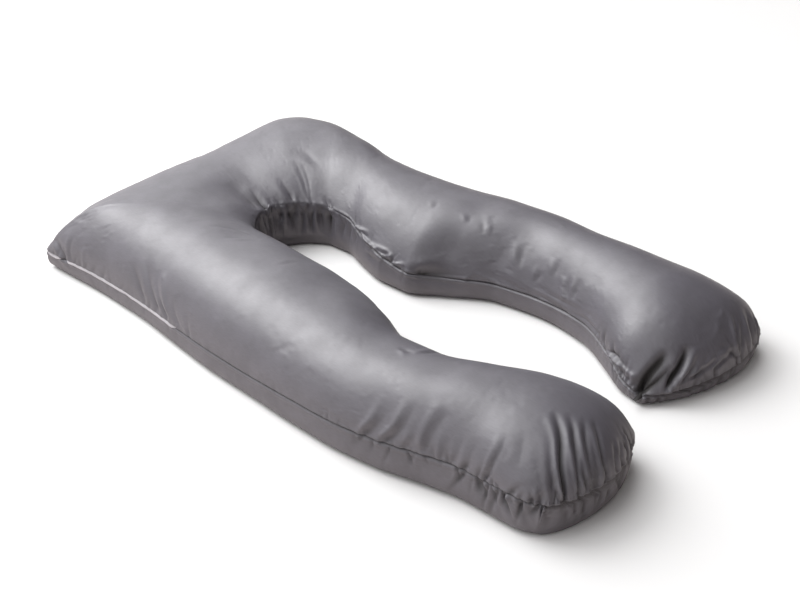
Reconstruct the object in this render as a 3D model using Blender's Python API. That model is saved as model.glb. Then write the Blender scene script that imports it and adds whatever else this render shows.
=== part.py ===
"""A U-shaped body pillow, lying flat: two arms joined by a square head round an arch.

Metres, +Z up. The origin is on the floor under the middle of the pillow. The head is at +Y
and the arms reach towards -Y: the near arm on the -X side, the far arm on the +X side.
"""

import math
from collections import namedtuple

import bmesh
import bpy
from mathutils import Matrix

# Driving dimensions.
LENGTH = 1.40  # head to arm ends
WIDTH = 0.82  # across both arms
CROWN = 0.19  # floor to the top of the filling at its fullest

# How the filled cloth rounds over.
END_ROUND = 0.13  # length over which an arm's top rounds down to its end seam
CORNER_ROUND = 0.11  # the same, round the pinched corner of the head
UNDER_INSET = 0.030  # from the seam in to where the underside lies flat
END_INSET = 0.014  # the same at an arm's end
UNDER_SQUARENESS = 0.6  # 1 makes the side under the seam a quarter ellipse, less makes it upright
UNDER_BULGE = 0.12  # how far that side swells, in shares of the seam's height
END_SQUARENESS = 0.7  # the same for an arm's end on the floor plan

# Facets.
HALF_RING = 12  # along a section's top, and along its underside
CURVED_UNDER = 3  # of those under each seam
BETWEEN_ROWS = 3  # stations for each row of the table
END_ROWS = 2  # rows at each end that close towards the end seam
END_STATIONS = 9  # stations over those

# The zip's placket: a folded lip of cloth that stands out along the seam by the head's near corner.
PLACKET_FROM, PLACKET_TO = 9, 12  # rows of the table that it starts and ends at
LIP_STAND = 0.004  # out from the seam
LIP_HEIGHT = 0.007
CLEARANCE = 0.0004

# One row for each section of the filled cloth, from the near arm's end round the head to the
# far arm's end. outer and inner are where the section meets the seam outside and inside the U:
# x in half widths, y in half lengths. outer_seam, inner_seam and crown are heights, in shares
# of CROWN. bow pushes the middle of the section along the arm, in half lengths.
Section = namedtuple("Section", "outer_x outer_y inner_x inner_y outer_seam inner_seam crown bow")
SECTIONS = [
    Section(-0.86, -0.935, -0.20, -0.94, 0.38, 0.36, 0.92, -0.070),
    Section(-0.90, -0.86, -0.17, -0.86, 0.39, 0.37, 0.94, -0.050),
    Section(-0.90, -0.72, -0.22, -0.72, 0.39, 0.38, 0.94, 0.0),
    Section(-0.93, -0.60, -0.32, -0.58, 0.38, 0.38, 0.93, 0.0),
    Section(-0.98, -0.46, -0.40, -0.44, 0.36, 0.37, 0.90, 0.0),
    Section(-1.00, -0.31, -0.40, -0.31, 0.34, 0.37, 0.88, 0.0),
    Section(-0.99, -0.16, -0.30, -0.18, 0.32, 0.36, 0.90, 0.0),
    Section(-0.97, 0.00, -0.21, -0.03, 0.29, 0.36, 0.93, 0.0),
    Section(-0.95, 0.17, -0.19, 0.13, 0.28, 0.40, 0.95, 0.0),
    Section(-0.91, 0.34, -0.18, 0.28, 0.26, 0.48, 0.95, 0.0),
    Section(-0.86, 0.55, -0.18, 0.38, 0.24, 0.53, 0.93, 0.0),
    Section(-0.84, 0.78, -0.17, 0.43, 0.23, 0.55, 0.91, 0.0),
    Section(-0.84, 0.97, -0.13, 0.46, 0.21, 0.56, 0.88, 0.0),
    Section(-0.55, 0.98, -0.07, 0.485, 0.27, 0.57, 0.86, 0.0),
    Section(-0.20, 0.97, 0.00, 0.50, 0.32, 0.58, 0.84, 0.0),
    Section(0.15, 0.95, 0.07, 0.50, 0.34, 0.58, 0.84, 0.0),
    Section(0.50, 0.925, 0.14, 0.48, 0.34, 0.57, 0.90, 0.0),
    Section(0.78, 0.905, 0.21, 0.45, 0.32, 0.56, 0.97, 0.0),
    Section(0.94, 0.82, 0.25, 0.42, 0.32, 0.55, 0.98, 0.0),
    Section(0.98, 0.70, 0.29, 0.37, 0.32, 0.53, 0.98, 0.0),
    Section(0.94, 0.54, 0.29, 0.30, 0.32, 0.50, 0.96, 0.0),
    Section(0.88, 0.36, 0.24, 0.22, 0.32, 0.44, 0.93, 0.0),
    Section(0.89, 0.20, 0.18, 0.10, 0.32, 0.36, 0.91, 0.0),
    Section(0.93, 0.03, 0.18, 0.01, 0.32, 0.30, 0.90, 0.0),
    Section(0.97, -0.14, 0.28, -0.10, 0.32, 0.27, 0.90, 0.0),
    Section(0.97, -0.30, 0.41, -0.24, 0.32, 0.26, 0.89, 0.0),
    Section(0.94, -0.46, 0.44, -0.40, 0.32, 0.26, 0.88, 0.0),
    Section(0.95, -0.60, 0.40, -0.55, 0.32, 0.28, 0.89, 0.0),
    Section(0.98, -0.74, 0.27, -0.69, 0.31, 0.26, 0.90, 0.0),
    Section(0.99, -0.88, 0.18, -0.77, 0.29, 0.18, 0.90, -0.040),
    Section(0.93, -0.955, 0.15, -0.84, 0.26, 0.12, 0.86, -0.080),
]
PINCHED_ROW = 12  # the near corner of the head, which ends in a flat ear


EAR = (SECTIONS[PINCHED_ROW].outer_x * WIDTH / 2, SECTIONS[PINCHED_ROW].outer_y * LENGTH / 2)


def between_rows(values, place):
    """A column's value at a place along the table: smooth, and never past a row's own value."""
    steps = [after - before for before, after in zip(values, values[1:])]
    turns = [2 * a * b / (a + b) if a * b > 0 else 0 for a, b in zip(steps, steps[1:])]
    slopes = [steps[0], *turns, steps[-1]]
    row = min(int(place), len(steps) - 1)
    t = place - row
    rise = values[row] * (1 + 2 * t) * (1 - t) ** 2 + values[row + 1] * t**2 * (3 - 2 * t)
    return rise + slopes[row] * t * (1 - t) ** 2 - slopes[row + 1] * t**2 * (1 - t)


def section_at(place):
    return Section(*(between_rows(column, place) for column in zip(*SECTIONS)))


def rounded(distance, reach):
    """0 at a seam and 1 from reach inwards, along a quarter of an ellipse."""
    short = 1 - min(distance / reach, 1)
    return math.sqrt(1 - short**2)


def section_ring(section, from_end):
    """One section's points: over the top from the outer seam to the inner, and back underneath."""
    outer = (section.outer_x * WIDTH / 2, section.outer_y * LENGTH / 2)
    inner = (section.inner_x * WIDTH / 2, section.inner_y * LENGTH / 2)
    span = math.dist(outer, inner)

    def across(share):
        bow = section.bow * LENGTH / 2 * abs(math.sin(math.pi * share)) ** END_SQUARENESS
        return outer[0] + (inner[0] - outer[0]) * share, outer[1] + (inner[1] - outer[1]) * share + bow

    def seam(share):
        return CROWN * (section.outer_seam + (section.inner_seam - section.outer_seam) * share)

    ring = []
    for n in range(HALF_RING + 1):
        angle = math.pi * n / HALF_RING
        share = (1 - math.cos(angle)) / 2
        place = across(share)
        lift = math.sin(angle) * rounded(from_end, END_ROUND) * rounded(math.dist(place, EAR), CORNER_ROUND)
        ring.append((*place, seam(share) + (section.crown * CROWN - seam(share)) * lift))
    flat = HALF_RING - 2 * CURVED_UNDER
    inset = UNDER_INSET / span
    for n in range(HALF_RING - 1, 0, -1):
        edge = min(n, HALF_RING - n)
        angle = math.pi / 2 * min(edge / CURVED_UNDER, 1)
        share = inset * (1 - abs(math.cos(angle)) ** UNDER_SQUARENESS)
        share -= UNDER_BULGE * seam(0 if n == edge else 1) / span * math.sin(2 * angle)
        share += (1 - 2 * inset) / flat * max(edge - CURVED_UNDER, 0)
        share = share if n == edge else 1 - share
        drop = (math.sin(angle) * rounded(from_end, END_INSET)) ** UNDER_SQUARENESS
        ring.append((*across(share), seam(share) * (1 - drop)))
    return ring


def station_places():
    """Where the stations stand along the table, closer together towards both arm ends."""
    last = len(SECTIONS) - 1
    middle = last - 2 * END_ROWS
    start = [END_ROWS * (1 - math.cos(math.pi / 2 * n / END_STATIONS)) for n in range(END_STATIONS)]
    along = [END_ROWS + n / BETWEEN_ROWS for n in range(middle * BETWEEN_ROWS + 1)]
    return start + along + [last - place for place in reversed(start)]


def middle_of(section):
    """The middle of a section on the floor plan."""
    x = (section.outer_x + section.inner_x) * WIDTH / 4
    return x, (section.outer_y + section.inner_y) * LENGTH / 4


def plain_material(name, colour, roughness):
    material = bpy.data.materials.new(name)
    material.use_nodes = True
    shader = material.node_tree.nodes["Principled BSDF"]
    shader.inputs["Base Color"].default_value = (*colour, 1)
    shader.inputs["Roughness"].default_value = roughness
    shader.inputs["Metallic"].default_value = 0
    return material


def finished(name, shell, material):
    bmesh.ops.recalc_face_normals(shell, faces=shell.faces)
    if shell.calc_volume(signed=True) < 0:
        bmesh.ops.reverse_faces(shell, faces=shell.faces)
    mesh = bpy.data.meshes.new(name)
    shell.to_mesh(mesh)
    shell.free()
    mesh.shade_smooth()
    mesh.materials.append(material)
    return bpy.data.objects.new(name, mesh)


def bridge(shell, one, other):
    """Faces between two closed loops of the same number of points."""
    for n in range(len(one)):
        m = (n + 1) % len(one)
        corners = dict.fromkeys((one[n], one[m], other[m], other[n]))
        if len(corners) > 2:
            shell.faces.new(corners)


def pillow_body():
    """The filled cover: rings of the sections, both arm ends closed on to their seam."""
    shell = bmesh.new()
    ends = [middle_of(SECTIONS[0]), middle_of(SECTIONS[-1])]
    loops = []
    places = station_places()
    for place in places:
        section = section_at(place)
        from_end = min(math.dist(middle_of(section), end) for end in ends)
        ring = section_ring(section, from_end)
        if place in (places[0], places[-1]):
            # The top and the underside meet in one line along the end seam.
            line = [shell.verts.new(point) for point in ring[: HALF_RING + 1]]
            loops.append(line + line[-2:0:-1])
        else:
            loops.append([shell.verts.new(point) for point in ring])
    for one, other in zip(loops, loops[1:]):
        bridge(shell, one, other)
    return finished("pillow_body", shell, plain_material("grey satin", (0.18, 0.175, 0.185), 0.42))


def zip_placket():
    """The folded lip that covers the zip, standing out from the seam of the near arm."""
    shell = bmesh.new()
    stations = [place for place in station_places() if PLACKET_FROM <= place <= PLACKET_TO - 0.05]
    loops = []
    for place in stations:
        x, y, z = section_ring(section_at(place), END_ROUND)[0]
        near, far = x - CLEARANCE, x - CLEARANCE - LIP_STAND
        low, high = z - LIP_HEIGHT / 2, z + LIP_HEIGHT / 2
        corners = ((near, high), (near, low), (far, low), (far, high))
        loops.append([shell.verts.new((across, y, up)) for across, up in corners])
    for one, other in zip(loops, loops[1:]):
        bridge(shell, one, other)
    shell.faces.new(loops[0])
    shell.faces.new(loops[-1])
    return finished("zip_placket", shell, plain_material("satin binding", (0.4, 0.39, 0.41), 0.4))


def centre_on_origin(pieces):
    """Stands the middle of the whole pillow's box over the origin."""
    points = [vertex.co for piece in pieces for vertex in piece.data.vertices]
    middle_x, middle_y = ((min(side) + max(side)) / 2 for side in list(zip(*points))[:2])
    for piece in pieces:
        piece.data.transform(Matrix.Translation((-middle_x, -middle_y, 0)))


def main():
    for thing in list(bpy.data.objects):
        bpy.data.objects.remove(thing)
    collection = bpy.data.collections.new("body pillow")
    bpy.context.scene.collection.children.link(collection)
    pieces = [pillow_body(), zip_placket()]
    centre_on_origin(pieces)
    for piece in pieces:
        collection.objects.link(piece)


main()
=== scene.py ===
"""The looks of the U-shaped body pillow: its gathered satin cover, its seam and its zip placket."""

import math
from collections import namedtuple

import bpy
import numpy as np
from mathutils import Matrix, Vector


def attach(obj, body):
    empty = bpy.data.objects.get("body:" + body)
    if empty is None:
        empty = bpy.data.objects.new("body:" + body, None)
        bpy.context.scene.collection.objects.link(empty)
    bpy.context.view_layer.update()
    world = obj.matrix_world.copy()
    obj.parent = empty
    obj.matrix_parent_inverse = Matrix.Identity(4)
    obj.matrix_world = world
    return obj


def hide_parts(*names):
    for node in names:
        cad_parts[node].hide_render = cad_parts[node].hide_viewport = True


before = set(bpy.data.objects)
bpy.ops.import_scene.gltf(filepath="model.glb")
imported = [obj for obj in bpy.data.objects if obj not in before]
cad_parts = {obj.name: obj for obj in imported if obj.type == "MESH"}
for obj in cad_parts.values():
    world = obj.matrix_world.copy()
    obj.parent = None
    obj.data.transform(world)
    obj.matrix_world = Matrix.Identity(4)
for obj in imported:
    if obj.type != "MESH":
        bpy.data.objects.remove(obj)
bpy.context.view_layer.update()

# The cover's own sizes, as it was cut and filled.
LENGTH = 1.40  # head to arm ends
WIDTH = 0.82  # across both arms
CROWN = 0.19  # floor to the top of the filling at its fullest
END_ROUND = 0.13  # length over which an arm's top rounds down to its end seam
CORNER_ROUND = 0.11  # the same, round the pinched corner of the head
UNDER_INSET = 0.030  # from the seam in to where the underside lies flat
END_INSET = 0.014  # the same at an arm's end
EAR_TUCK = 0.022  # how much further in it lies under the head's near corner
EAR_TUCK_REACH = 0.07  # how far from the corner that fades out
UNDER_SQUARENESS = 0.6  # 1 makes the side under the seam a quarter ellipse, less makes it upright
UNDER_BULGE = 0.12  # how far that side swells, in shares of the seam's height
END_SQUARENESS = 0.7  # how square an arm's end is on the floor plan
PINCH = 0.55  # 0 leaves the filling round down to the inner seam, 1 draws the cloth flat towards it
PINCHED_ROWS = (12.6, 27.6)  # between which sections, numbered as in the table below
PINCH_RAMP = 2.4  # rows over which that begins and ends

# One row for each section of the cover, from the near arm's end round the head to the far
# arm's end. outer and inner are where the section meets the seam outside and inside the U:
# x in half widths, y in half lengths. outer_seam, inner_seam and crown are heights, in shares
# of CROWN. bow pushes the middle of the section along the arm, in half lengths.
Section = namedtuple("Section", "outer_x outer_y inner_x inner_y outer_seam inner_seam crown bow")
SECTIONS = [
    Section(-0.86, -0.935, -0.20, -0.94, 0.38, 0.36, 0.92, -0.070),
    Section(-0.90, -0.86, -0.17, -0.86, 0.39, 0.37, 0.94, -0.050),
    Section(-0.90, -0.72, -0.22, -0.72, 0.39, 0.38, 0.94, 0.0),
    Section(-0.93, -0.60, -0.32, -0.58, 0.38, 0.38, 0.93, 0.0),
    Section(-0.98, -0.46, -0.40, -0.44, 0.36, 0.37, 0.90, 0.0),
    Section(-1.00, -0.31, -0.40, -0.31, 0.34, 0.37, 0.88, 0.0),
    Section(-0.99, -0.16, -0.30, -0.18, 0.32, 0.36, 0.90, 0.0),
    Section(-0.97, 0.00, -0.21, -0.03, 0.29, 0.36, 0.93, 0.0),
    Section(-0.95, 0.17, -0.19, 0.13, 0.28, 0.40, 0.95, 0.0),
    Section(-0.91, 0.34, -0.18, 0.28, 0.26, 0.48, 0.95, 0.0),
    Section(-0.86, 0.55, -0.18, 0.38, 0.24, 0.53, 0.93, 0.0),
    Section(-0.84, 0.78, -0.17, 0.43, 0.23, 0.55, 0.91, 0.0),
    Section(-0.84, 0.97, -0.13, 0.46, 0.21, 0.56, 0.88, 0.0),
    Section(-0.55, 0.98, -0.07, 0.485, 0.27, 0.57, 0.86, 0.0),
    Section(-0.20, 0.97, 0.00, 0.50, 0.32, 0.58, 0.84, 0.0),
    Section(0.15, 0.95, 0.07, 0.50, 0.34, 0.58, 0.84, 0.0),
    Section(0.50, 0.925, 0.14, 0.48, 0.34, 0.57, 0.90, 0.0),
    Section(0.78, 0.905, 0.21, 0.45, 0.32, 0.56, 0.97, 0.0),
    Section(0.94, 0.82, 0.25, 0.42, 0.32, 0.55, 0.98, 0.0),
    Section(0.98, 0.70, 0.29, 0.37, 0.32, 0.53, 0.98, 0.0),
    Section(0.94, 0.54, 0.29, 0.30, 0.32, 0.50, 0.96, 0.0),
    Section(0.88, 0.36, 0.24, 0.22, 0.32, 0.44, 0.93, 0.0),
    Section(0.89, 0.20, 0.18, 0.10, 0.32, 0.36, 0.91, 0.0),
    Section(0.93, 0.03, 0.18, 0.01, 0.32, 0.30, 0.90, 0.0),
    Section(0.97, -0.14, 0.28, -0.10, 0.32, 0.27, 0.90, 0.0),
    Section(0.97, -0.30, 0.41, -0.24, 0.32, 0.26, 0.89, 0.0),
    Section(0.94, -0.46, 0.44, -0.40, 0.32, 0.26, 0.88, 0.0),
    Section(0.95, -0.60, 0.40, -0.55, 0.32, 0.28, 0.89, 0.0),
    Section(0.98, -0.74, 0.27, -0.69, 0.31, 0.26, 0.90, 0.0),
    Section(0.99, -0.88, 0.18, -0.77, 0.29, 0.18, 0.90, -0.040),
    Section(0.93, -0.955, 0.15, -0.84, 0.26, 0.12, 0.86, -0.080),
]
EAR_ROW = 12  # the head's near corner, which ends in a flat ear
LAST_ROW = len(SECTIONS) - 1

# The cover's mesh. A turn says where a point is on its section: 0 is the outer seam and 1 the
# inner one, over the top; -1 and 2 are the floor's edges under them; -2 and 3 meet underneath.
Grid = namedtuple("Grid", "stations top wall flat")
SEAM_CROWDING = 0.4  # how much closer together the points stand at a seam than on average
WALL_CROWDING = 1.4  # the same for the wall under it, where 1 spaces them evenly
FINE = Grid(stations=1060, top=176, wall=20, flat=22)
COARSE = Grid(stations=420, top=64, wall=7, flat=3)


def between_rows(values, places, limited=True):
    """Values at places along a table's rows. Limited, a curve never passes its own rows."""
    values = np.asarray(values, float)
    steps = np.diff(values, axis=0)
    before, after = steps[:-1], steps[1:]
    if limited:
        total = np.where(before + after == 0, 1, before + after)
        turns = np.where(before * after > 0, 2 * before * after / total, 0)
    else:
        turns = (before + after) / 2
    slopes = np.concatenate([steps[:1], turns, steps[-1:]])
    rows = np.clip(np.asarray(places).astype(int), 0, len(steps) - 1)
    t = (places - rows).reshape(np.shape(places) + (1,) * (values.ndim - 1))
    curve = values[rows] * (1 + 2 * t) * (1 - t) ** 2 + values[rows + 1] * t**2 * (3 - 2 * t)
    return curve + slopes[rows] * t * (1 - t) ** 2 - slopes[rows + 1] * t**2 * (1 - t)


def rounded(distance, reach):
    """0 at a seam and 1 from reach inwards, along a quarter of an ellipse."""
    return np.sqrt(1 - (1 - np.clip(distance / reach, 0, 1)) ** 2)


def section_columns(places):
    """The sections' columns at places along the table."""
    return Section(*(between_rows(column, places) for column in zip(*SECTIONS)))


def plan_point(x, y):
    """A point on the floor plan, in metres, from half widths and half lengths."""
    return np.stack([np.asarray(x) * WIDTH / 2, np.asarray(y) * LENGTH / 2], -1)


def seam_points(section):
    """Where a section meets the outer and the inner seam, on the floor plan."""
    return plan_point(section.outer_x, section.outer_y), plan_point(section.inner_x, section.inner_y)


def middle_of(section):
    outer, inner = seam_points(section)
    return (outer + inner) / 2


EAR = plan_point(SECTIONS[EAR_ROW].outer_x, SECTIONS[EAR_ROW].outer_y)
ARM_ENDS = [middle_of(SECTIONS[0]), middle_of(SECTIONS[-1])]


def inner_pinch(places):
    """How far the cloth is drawn flat towards the inner seam, in the arch and along the far arm."""
    begins, ends = PINCHED_ROWS
    ramp = np.clip(np.minimum(places - begins, ends - places) / PINCH_RAMP, 0, 1)
    return PINCH * ramp**2 * (3 - 2 * ramp)


def cover_at(places, turns):
    """Points of the filled cover, before the cloth is gathered."""
    section = section_columns(places)
    outer, inner = seam_points(section)
    span = np.linalg.norm(inner - outer, axis=-1)
    middle = middle_of(section)
    from_end = np.min([np.linalg.norm(middle - end, axis=-1) for end in ARM_ENDS], axis=0)
    on_top = (turns >= 0) & (turns <= 1)
    outside = turns < 0.5

    below = np.where(outside, -turns, turns - 1)
    wall = np.clip(below, 0, 1) * math.pi / 2
    from_tip = np.linalg.norm(outer - EAR, axis=-1)
    tuck = np.where(outside, EAR_TUCK * np.exp(-((from_tip / EAR_TUCK_REACH) ** 2)), 0)
    inset = (UNDER_INSET + tuck) / span
    near_seam = CROWN * np.where(outside, section.outer_seam, section.inner_seam)
    edge = inset * (1 - np.cos(wall).clip(0) ** UNDER_SQUARENESS)
    edge -= UNDER_BULGE * near_seam / span * np.sin(2 * wall)
    edge += (0.5 - inset) * np.clip(below - 1, 0, 1)
    top_angle = math.pi * np.clip(turns, 0, 1)
    pinch = inner_pinch(places) * ~outside
    over_top = (1 - pinch) * (1 - np.cos(top_angle)) / 2 + pinch * turns
    share = np.where(on_top, over_top, np.where(outside, edge, 1 - edge))

    bow = section.bow * LENGTH / 2 * np.sin(math.pi * share.clip(0, 1)).clip(0) ** END_SQUARENESS
    place = outer + (inner - outer) * share[..., None]
    place[..., 1] += bow
    seam = CROWN * (section.outer_seam + (section.inner_seam - section.outer_seam) * share)
    from_ear = np.linalg.norm(place - EAR, axis=-1)
    lift = np.sin(top_angle).clip(0) * rounded(from_end, END_ROUND) * rounded(from_ear, CORNER_ROUND)
    drop = (np.sin(wall).clip(0) * rounded(from_end, END_INSET)) ** UNDER_SQUARENESS
    height = np.where(on_top, seam + (section.crown * CROWN - seam) * lift, seam * (1 - drop))
    return np.concatenate([place, height[..., None]], -1)


def middle_of_cover():
    """The middle of the cover's outline on the floor, which stands over the origin."""
    rows, turns = np.linspace(0, LAST_ROW, 1200), np.linspace(-1, 2, 121)
    outline = cover_at(*np.meshgrid(rows, turns, indexing="ij")).reshape(-1, 3)
    return (outline.min(axis=0) + outline.max(axis=0)) / 2 * (1, 1, 0)


SPACING_TURNS = (-1.6, 0.0, 0.25, 0.5, 0.75, 1.0)  # where the gaps between sections are measured
SPACING_STEPS = 6000


def even_stations(count):
    """Places along the table whose sections stand evenly apart over the cover."""
    places = np.linspace(0, LAST_ROW, SPACING_STEPS)
    tracks = [cover_at(places, np.full_like(places, turn)) for turn in SPACING_TURNS]
    steps = np.max([np.linalg.norm(np.diff(track, axis=0), axis=-1) for track in tracks], axis=0)
    run = np.concatenate([[0], np.cumsum(steps)])
    return np.interp(np.linspace(0, run[-1], count), run, places)


def ring_turns(grid):
    """A ring's turns, closer together at the seams: from the outer seam over the top and back below."""
    even = np.linspace(0, 1, grid.top + 1)
    top = even - SEAM_CROWDING * np.sin(2 * math.pi * even) / (2 * math.pi)
    wall = (np.arange(1, grid.wall + 1) / grid.wall) ** (WALL_CROWDING / UNDER_SQUARENESS)
    flat = np.arange(1, grid.flat + 1) / grid.flat
    side = np.concatenate([wall, 1 + flat])
    return np.concatenate([top, 1 + side, -side[-2::-1]])


MIDDLE = middle_of_cover()
WHOLE_RING = 5  # one turn over the top, one down each side, and two along the underside


def cover_grid(grid):
    """A grid's places along the table, the turns round a ring, and the cover's points at them."""
    places, turns = even_stations(grid.stations), ring_turns(grid)
    across, around = np.meshgrid(places, turns, indexing="ij")
    return places, turns, cover_at(across, around) - MIDDLE


def grid_faces(grid, ring):
    """Quads round the sections, and both arm ends closed on to the line of their seam."""
    index = np.arange(grid.stations * ring).reshape(grid.stations, ring)
    follow = np.roll(index, -1, axis=1)
    inner = slice(1, -1)
    index_inner, follow_inner = index[inner], follow[inner]
    quads = np.stack([index_inner[:-1], follow_inner[:-1], follow_inner[1:], index_inner[1:]], -1)
    faces = quads.reshape(-1, 4).tolist()
    under = ring - grid.top
    per_under = grid.top / under
    for end, beside, forward in ((0, 1, True), (grid.stations - 1, grid.stations - 2, False)):
        line, loop = index[end], index[beside]
        for n in range(ring):
            m = (n + 1) % ring
            if n < grid.top:
                along = [line[n], line[m]]
            else:
                first = round(grid.top - (n - grid.top) * per_under)
                last = round(grid.top - (n + 1 - grid.top) * per_under)
                along = [line[k] for k in range(first, last - 1, -1)]
            face = [int(point) for point in along + [loop[m], loop[n]]]
            faces.append(face if forward else face[::-1])
    return faces


def make_mesh(name, points, faces):
    """A mesh object of these faces, and the numbers of the points that they use."""
    used = np.unique(np.concatenate([np.asarray(face) for face in faces]))
    renumbered = np.full(len(points), -1)
    renumbered[used] = np.arange(len(used))
    mesh = bpy.data.meshes.new(name)
    mesh.from_pydata(points[used].tolist(), [], [renumbered[face].tolist() for face in faces])
    piece = bpy.data.objects.new(name, mesh)
    bpy.context.scene.collection.objects.link(piece)
    return piece, used


def ring_places(turns):
    """Turns as they follow each other round a ring, from 0 at the outer seam to WHOLE_RING back at it."""
    return np.where(turns < 0, WHOLE_RING + turns, turns)


def grid_normals(points):
    """The outward direction at each point of a grid of points."""
    along = np.gradient(points, axis=0)
    around = np.roll(points, -1, axis=1) - np.roll(points, 1, axis=1)
    normals = np.cross(around, along)
    normals /= np.linalg.norm(normals, axis=-1, keepdims=True) + 1e-12
    normals[0], normals[-1] = normals[1], normals[-2]
    return normals


# Where the cover has cloth to spare, so that it gathers: rows of the sections, the side of the
# U, how far up the top it reaches, and how much wider than its place the cloth was cut.
Gather = namedtuple("Gather", "first_row last_row side reach spare")
GATHERS = [
    Gather(0.0, 3.6, "outer", 0.10, 0.07),
    Gather(3.6, 8.0, "outer", 0.05, 0.035),
    Gather(0.0, 2.0, "inner", 0.09, 0.06),
    Gather(9.0, 21.0, "inner", 0.07, 0.06),
    Gather(21.0, 28.0, "inner", 0.07, 0.04),
    Gather(28.0, 30.0, "inner", 0.12, 0.08),
    Gather(27.5, 30.0, "outer", 0.10, 0.07),
]
END_GATHER = 0.08  # spare cloth round both arms' ends
END_GATHER_REACH = 0.09
GATHER_FADE = 0.6  # rows over which gathered cloth begins and ends


def inner_column(turns):
    """The number of the ring's point on the inner seam."""
    return int(np.flatnonzero(turns == 1)[0])


def round_sections(points):
    """How far round its section each point is, over the cloth, and how far it is all the way round."""
    steps = np.linalg.norm(np.diff(points, axis=1, append=points[:, :1]), axis=-1)
    run = np.concatenate([np.zeros((len(points), 1)), np.cumsum(steps, axis=1)], axis=1)
    return run[:, :-1], run[:, -1:]


def seam_distances(points, turns):
    """How far each point is from its section's outer and inner seam, over the cloth."""
    here, total = round_sections(points)
    inner = inner_column(turns)
    return np.minimum(here, total - here), np.abs(here - here[:, inner : inner + 1])


def spare_cloth(places, turns, points):
    """The share by which the cloth at each point was cut wider than its place."""
    distance = np.minimum(*seam_distances(points, turns))
    across, around = np.meshgrid(places, turns, indexing="ij")
    spare = np.zeros_like(distance)
    for gather in GATHERS:
        side = around < 0.5 if gather.side == "outer" else around >= 0.5
        inside = np.clip((across - gather.first_row) / GATHER_FADE + 1, 0, 1)
        inside = inside * np.clip((gather.last_row - across) / GATHER_FADE + 1, 0, 1)
        amount = gather.spare * inside * np.exp(-((distance / gather.reach) ** 2)) * side
        spare = np.maximum(spare, amount)
    for end in (0, -1):
        line = points[end, ::4, None, None, :2]
        from_end = np.min(np.linalg.norm(points[None, ..., :2] - line, axis=-1), axis=0)
        spare = np.maximum(spare, END_GATHER * np.exp(-((from_end / END_GATHER_REACH) ** 2)))
    return spare


SETTLE_FRAMES = 30
START_UNEVENNESS = 0.001  # the cloth never lies quite smooth, so it has places to start to buckle
UNEVENNESS_SEED = 7
MOST_MOVE = 0.016  # how far the simulation may carry the cloth
ON_FLOOR = 0.004  # the cloth below this height is held down by the weight on it
FLOOR_HOLD = 1.0  # how firmly it is held there
SEAM_HOLD = 0.9  # and how firmly a seam holds it
CUT_WIDER = 4  # the spare cloth is cut this many times wider than its table says, to buckle fully


def add_to_group(group, weights):
    """Puts the points with a weight into a vertex group."""
    for index, weight in enumerate(weights):
        if weight:
            group.add([index], float(weight), "REPLACE")


def gathered_moves():
    """How each point of the coarse grid moves as the filling presses the cut cloth out."""
    places, turns, points = cover_grid(COARSE)
    ring = points.shape[1]
    rng = np.random.default_rng(UNEVENNESS_SEED)
    start = points.reshape(-1, 3) + rng.normal(0, START_UNEVENNESS, (points.size // 3, 3))
    cloth_piece, used = make_mesh("cloth_at_rest", start, grid_faces(COARSE, ring))
    held = cloth_piece.vertex_groups.new(name="held")
    spare = cloth_piece.vertex_groups.new(name="spare")
    on_seam = np.isin(turns, (0, 1))[None, :].repeat(len(places), 0)
    on_seam[[0, -1]] = True
    on_floor = points[..., 2] < ON_FLOOR
    holds = np.where(on_floor, FLOOR_HOLD, np.where(on_seam, SEAM_HOLD, 0.0))
    add_to_group(held, holds.ravel()[used])
    amounts = spare_cloth(places, turns, points)
    most = float(amounts.max())
    add_to_group(spare, (amounts / most).ravel()[used])
    cloth = cloth_piece.modifiers.new("cloth", "CLOTH")
    settings = cloth.settings
    settings.quality = 5
    settings.mass = 0.003
    settings.tension_stiffness = 15
    settings.compression_stiffness = 15
    settings.shear_stiffness = 3
    settings.bending_stiffness = 0.002
    for damping in ("tension", "compression", "shear", "bending", "air"):
        setattr(settings, damping + "_damping", 0.5)
    settings.use_pressure = True
    settings.uniform_pressure_force = 0.6
    settings.vertex_group_mass = "held"
    settings.pin_stiffness = 20
    settings.vertex_group_shrink = "spare"
    settings.shrink_min = 0
    settings.shrink_max = -CUT_WIDER * most
    settings.effector_weights.gravity = 0
    cloth.collision_settings.use_collision = False
    cloth.collision_settings.use_self_collision = False
    cloth.point_cache.frame_start = 1
    cloth.point_cache.frame_end = SETTLE_FRAMES
    scene = bpy.context.scene
    for step in range(1, SETTLE_FRAMES + 1):
        scene.frame_set(step)
    graph = bpy.context.evaluated_depsgraph_get()
    settled = np.zeros(3 * len(used), np.float32)
    cloth_piece.evaluated_get(graph).data.vertices.foreach_get("co", settled)
    scene.frame_set(1)
    bpy.data.objects.remove(cloth_piece)
    moves = np.zeros_like(start)
    moves[used] = settled.reshape(-1, 3) - start[used]
    moves = moves.reshape(points.shape)
    size = np.linalg.norm(moves, axis=-1, keepdims=True)
    moves *= MOST_MOVE * np.tanh(size / MOST_MOVE) / (size + 1e-9)
    return places, turns, moves


def linear(code):
    """The linear colour of an sRGB hex code."""
    parts = [int(code[n : n + 2], 16) / 255 for n in (1, 3, 5)]
    return (*(c / 12.92 if c <= 0.04045 else ((c + 0.055) / 1.055) ** 2.4 for c in parts), 1.0)


def add(tree, kind, settings=(), inputs=(), links=()):
    """Adds a node to a tree with its settings, its inputs' values and its links. In a Mix node of
    colours, inputs 6 and 7 are the two colours and output 2 is their mix."""
    node = tree.nodes.new(kind)
    for name, value in dict(settings).items():
        setattr(node, name, value)
    for name, value in dict(inputs).items():
        node.inputs[name].default_value = value
    for name, source in dict(links).items():
        tree.links.new(source, node.inputs[name])
    return node


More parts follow.
